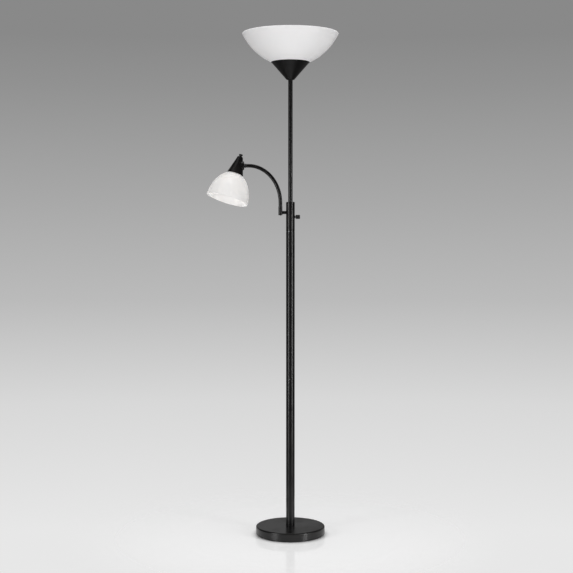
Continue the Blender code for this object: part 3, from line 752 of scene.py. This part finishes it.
cap_size = measure("ferrule_cap", arm_axis)
plug_r = 0.0051
cap_seat = ferrule.foot - gap
outline = rounded((0, cap_size.top), (plug_r, cap_size.top, 0.0003), (plug_r, cap_seat),
                  (cap_size.radius, cap_seat, 0.0002), (cap_size.radius, cap_size.foot, 0.0018),
                  (0, cap_size.foot))
fit(turned("ferrule_plug", outline, axis=arm_axis), "stand", "ferrule_cap", tube_coat)

# ------------------------------------------------------------------ arm pivot
# The arm's foot holds a hollow turned bush, which stands in the ferrule on a thin nylon washer.
# A ring on its lower end keeps it from lifting out.


def nylon():
    """Black nylon with fine turning lines."""
    paint = Finish("black_nylon")
    lines = paint.noise(60, 3, SPUN)
    return paint.set(Base_Color=paint.blend(lines, colour(.010, .010, .011), colour(.024, .024, .025)),
                     Roughness=0.42 + 0.16 * lines, Normal=paint.bump(lines, 0.00001))


turned_nylon = nylon()


def flat_ring(name, node, body, finish, axis):
    """A washer with its edges lightly broken."""
    size = measure(node, axis)
    edge = 0.0002
    outline = rounded((size.bore, size.top, edge), (size.radius, size.top, edge),
                      (size.radius, size.foot, edge), (size.bore, size.foot, edge))
    fit(turned(name, outline, SMALL, axis=axis), body, node, finish)


flat_ring("swing_washer", "pivot_washer", "stand", turned_nylon, arm_axis)
arm_bush = measure("pivot_bush", arm_axis)
arm_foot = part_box("arm_tube")[0].z
rim_foot = measure("pivot_washer", arm_axis).top + gap
rim_top = arm_foot - gap
arm_spigot = arm_bush.radius - tube_wall - gap
journal = 0.0042
outline = rounded((arm_bush.bore, arm_bush.top), (arm_spigot, arm_bush.top, 0.0003), (arm_spigot, rim_top),
                  (arm_bush.radius, rim_top, 0.0003), (arm_bush.radius, rim_foot, 0.0003),
                  (journal, rim_foot), (journal, arm_bush.foot, 0.0003), (arm_bush.bore, arm_bush.foot))
fit(turned("swing_bush", outline, SMALL, axis=arm_axis), "arm", "pivot_bush", tube_coat)

# ------------------------------------------------------------------ arm tube
# A 13 mm steel tube bent cold into a quarter ellipse, up from its foot and over to a level end.
# It is cut square at both ends and powder-coated after bending.
arm_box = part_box("arm_tube")
arm_r = arm_box[1].y
arm_end = frame["joints"][2]["pos_m"][2]
curve_x = -0.1500           # where the bend ends level
spring_z = sleeve.top - 0.0002
tube_end_x = arm_box[0].x


def arm_line(angle):
    """Centre line of the bend, and its direction, by the angle round the ellipse."""
    half_x = arm_x - curve_x
    half_z = arm_end - spring_z
    middle = Vector((curve_x + half_x * math.cos(angle), 0, spring_z + half_z * math.sin(angle)))
    return middle, Vector((-half_x * math.sin(angle), 0, half_z * math.cos(angle))).normalized()


bend_steps = 72
stations = [(Vector((arm_x, 0, height)), Vector((0, 0, 1)))
            for height in (arm_foot, arm_foot + broken_edge)]
stations += [arm_line(math.pi / 2 * i / bend_steps) for i in range(bend_steps + 1)]
stations += [(Vector((place, 0, arm_end)), Vector((-1, 0, 0)))
             for place in (tube_end_x + broken_edge, tube_end_x)]


def hoop(station, radius):
    """A ring of points square to the tube's line."""
    steps = 48
    middle, ahead = station
    across = Vector((0, 1, 0))
    up = ahead.cross(across)
    angles = (2 * math.pi * i / steps for i in range(steps))
    return [middle + radius * (math.cos(a) * up + math.sin(a) * across) for a in angles]


outer = [hoop(station, arm_r) for station in stations[1:-1]]
outer = [hoop(stations[0], arm_r - broken_edge)] + outer + [hoop(stations[-1], arm_r - broken_edge)]
inner = [hoop(station, arm_r - tube_wall) for station in reversed(stations)]
arm = bpy.data.objects.new("bent_arm", skin("bent_arm", outer + inner, True))
bpy.context.scene.collection.objects.link(arm)
fit(arm, "arm", "arm_tube", powder_coat("coat_on_arm", (6, 6, 6)))

# ------------------------------------------------------------------ arm end and swivel
# A painted collar finishes the tube's end. The head turns about the threaded nipple in it, held
# between a nylon friction washer outside and a spring washer and nut inside the cup.
end_axis = Matrix.Translation((0, 0, arm_end)) @ Matrix.Rotation(math.pi / 2, 4, "Y")
collar = measure("arm_end_collar", end_axis)
outline = rounded((collar.bore, collar.top), (collar.radius - 0.0003, collar.top, 0.0003),
                  (collar.radius, collar.top - 0.0010, 0.0006), (collar.radius, collar.foot, 0.0004),
                  (collar.bore, collar.foot))
fit(turned("end_collar", outline, SMALL, axis=end_axis), "arm", "arm_end_collar", tube_coat)
flat_ring("swivel_washer", "friction_washer", "arm", turned_nylon, end_axis)

# ------------------------------------------------------------------ reading cup
# A small steel cone, drawn and painted, with a flat round boss formed on one side for the swivel.
# Everything in the head is laid out along the cone's own axis, which leans and tilts.
head_lean = math.radians(16.6)
head_tilt = math.radians(-9.9)
mouth_x = -0.1968           # the cone's mouth before it tilts
mouth_z = 1.3040
mouth_place = Matrix.Translation((mouth_x, 0, mouth_z - arm_end))
tilt_axis = Matrix.Translation((0, 0, arm_end)) @ Matrix.Rotation(head_tilt, 4, "X")
head_axis = tilt_axis @ mouth_place @ Matrix.Rotation(head_lean, 4, "Y")
boss_axis = tilt_axis @ Matrix.Rotation(math.pi / 2, 4, "Y")
mouth_r = 0.0299
crown_r = 0.0097
boss_r = 0.0155
boss_back = 0.0150          # how far the boss runs back into the cone
swivel_hole = 0.0054
nipple_hole = 0.0042
roof_sheet = 0.0016
overrun = 0.0010            # how far the hollow's cutter passes the mouth
mouth = -0.0050
crown = measure("reading_cup", head_axis).top
boss_face = measure("reading_cup", boss_axis).top
lean = (mouth_r - crown_r) / (crown - mouth)
skin_across = cup_wall * math.hypot(1, lean)
outline = rounded((0, crown), (crown_r, crown, 0.0014), (mouth_r, mouth, 0.0003), (0, mouth))
head_cup = turned("reading_cone", outline, FINE, axis=head_axis)
outline = rounded((0, boss_face), (boss_r, boss_face, 0.0020), (boss_r, boss_face - boss_back),
                  (0, boss_face - boss_back))
merge(head_cup, turned("boss", outline, axis=boss_axis))
roof = crown - roof_sheet
below = mouth - overrun
outline = [(0, roof), (crown_r + lean * roof_sheet - skin_across, roof),
           (mouth_r + lean * overrun - skin_across, below), (0, below)]
merge(head_cup, turned("hollow", outline, FINE, axis=head_axis), "DIFFERENCE")
merge(head_cup, bar(swivel_hole, boss_face - 0.0120, boss_face + 0.0040, boss_axis), "DIFFERENCE")
merge(head_cup, bar(nipple_hole, crown - 0.0040, crown + 0.0020, head_axis), "DIFFERENCE")
fit(head_cup, "head", "reading_cup", powder_coat("coat_on_reading_cone", SPUN))

# ------------------------------------------------------------------ finial nut
# A turned thumb nut on the cone's crown, finely fluted round its edge and painted with the cup.
# It screws down on the nipple that carries the reading holder.
finial = measure("reading_finial", head_axis)
seat_r = 0.0052
grip_foot = finial.top - 0.0036
neck_top = finial.foot + 0.0032
thread_end = finial.top - 0.0031
nicks = 20
nick_depth = 0.00025
nick_fade = 0.0010
outline = rounded((0, finial.top), (finial.radius, finial.top - 0.0006, 0.0012),
                  (finial.radius, grip_foot, 0.0010), (seat_r, neck_top, 0.0010),
                  (seat_r, finial.foot, 0.0002), (nipple_hole, finial.foot), (nipple_hole, thread_end),
                  (0, thread_end))


def thumb_grip(angle, radius, height):
    """Shallow flutes on the nut's widest part."""
    rise = max(0.0, (radius - finial.radius + nick_fade) / nick_fade)
    return radius - nick_depth * rise * (1 - math.cos(nicks * angle))


fit(turned("thumb_nut", outline, 8 * nicks, thumb_grip, head_axis), "head", "reading_finial",
    spun_coat)

# ------------------------------------------------------------------ reading light
# The same kind of holder, bulb and ring as above, upside down in the small cone.
# Its shade is a deep dome of the same opal plastic, a little creamier.
hanging = head_axis @ Matrix.Rotation(math.pi, 4, "X")
dome_half_r = 0.0755        # half axes of the dome's section, and its centre along the axis
dome_half_h = 0.1075
dome_centre = 0.1050
dome_wall = 0.0022
holder("reading", "head", hanging)
shade_ring("reading", "reading_shade_ring", "head", hanging)
bulb("reading", "head", hanging, glow=2.4)
# Its glow is a painted glow on the dome, for the bulb's light shining through it.
shade("reading_dome", "reading_shade", "head", hanging, dome_half_r, dome_half_h, dome_centre, dome_wall,
      opal_shade("opal_dome", colour(.80, .785, .77), milk=0.9, glow=0.25))

# ------------------------------------------------------------------ leads
# Stranded copper in black PVC, from the inlet up to the switch and on to both holders.
# They run inside the tubes and keep the frame's solids.
pvc = moulded("lead_pvc", colour(.016, .016, .017), colour(.030, .029, .029), 0.50, 700, 0.00002)
refinish(pvc, "supply_leads", "torchiere_leads", "bracket_leads", "arm_leads")

# ------------------------------------------------------------------ studio
# A pale, softly lit satin floor that fades into a plain grey-to-white backdrop, with a painted contact
# shadow round the base. Two tall softboxes stand at the sides, with a wide one overhead and a fill in
# front.
# The rest of the room is dim.
fade_start = 0.28           # the floor is whole inside this radius and gone outside the next
fade_end = 0.85
floor = turned("floor", [(0, 0), (fade_end, 0)], FINE)
paint = Finish("pale_floor", IOR=1.35, Emission_Strength=0.39)
spot = paint.node("ShaderNodeVectorMath", {"operation": "LENGTH"}, {0: paint.coordinates()}, "Value")
sheen = paint.noise(3, 3)
floor.data.materials.append(paint.set(
    Base_Color=paint.blend(sheen, colour(.93, .93, .935), colour(.95, .95, .95)),
    # Painted shadow: the floor's glow is black under the base and fades in just past its edge.
    Emission_Color=paint.blend(paint.smooth(spot, 0.110, 0.150), colour(0, 0, 0), colour(1, 1, 1)),
    Roughness=0.09 + 0.03 * sheen, Alpha=1 - paint.smooth(spot, fade_start, fade_end)))


def softbox(name, place, size, power, glossy=True):
    """A rectangular light that looks at the lamp's middle."""
    light = bpy.data.lights.new(name, "AREA")
    light.shape = "RECTANGLE"
    light.size, light.size_y = size
    light.energy = power
    rig = bpy.data.objects.new(name, light)
    rig.location = place
    aim = Vector((0, 0, min(place[2], 1.0))) - Vector(place)
    rig.rotation_euler = aim.to_track_quat("-Z", "Y").to_euler()
    rig.visible_camera = False
    rig.visible_glossy = glossy
    bpy.context.scene.collection.objects.link(rig)


softbox("left_softbox", (-2.05, -1.70, 0.72), (0.60, 1.7), 26)
softbox("right_softbox", (2.05, -1.70, 0.72), (0.50, 1.7), 29)
softbox("overhead_softbox", (0.0, 0.3, 3.4), (2.4, 2.4), 27)
softbox("front_fill", (0.2, -5.2, 2.6), (2.4, 1.6), 72, glossy=False)

world = bpy.data.worlds.new("studio")
world.use_nodes = True
bpy.context.scene.world = world
sky = Nodes(world.node_tree)
way = sky.node("ShaderNodeTexCoord", output="Generated")
rise = sky.node("ShaderNodeSeparateXYZ", None, {0: way}, "Z")
depth = sky.node("ShaderNodeSeparateXYZ", None, {0: way}, "Y")
heights = sky.node("ShaderNodeMapRange", None, {"Value": rise, "From Min": -0.24, "From Max": 0.16})
grey = sky.node("ShaderNodeValToRGB", {"stops": [
    (0.00, colour(.80, .80, .80)), (1.00, colour(.25, .25, .25)), (0.25, colour(.685, .685, .685)),
    (0.46, colour(.495, .495, .495)), (0.66, colour(.395, .395, .395)),
    (0.90, colour(.285, .285, .285))]}, {0: heights})
seen = sky.node("ShaderNodeLightPath", None, None, "Is Camera Ray")
room = 0.03 + 0.12 * sky.smooth(depth, -0.10, 0.60)
band = sky.smooth(rise, 0.14, 0.22) * (1 - sky.smooth(rise, 0.34, 0.46)) * sky.smooth(depth, 0.55, 0.85)
strength = seen + (1 - seen) * (room + 1.8 * band)
backdrop = world.node_tree.nodes["Background"]
sky.feed(backdrop, {"Color": grey, "Strength": strength})

dip = 2.607                 # degrees below level
camera = bpy.data.objects.new("camera", bpy.data.cameras.new("camera"))
camera.data.lens = 74.74
camera.location = (-0.0140, -4.269, 1.0927)
camera.rotation_euler = Euler((math.radians(90 - dip), 0, 0))
bpy.context.scene.collection.objects.link(camera)
bpy.context.scene.camera = camera
bpy.context.scene.view_settings.view_transform = "Standard"
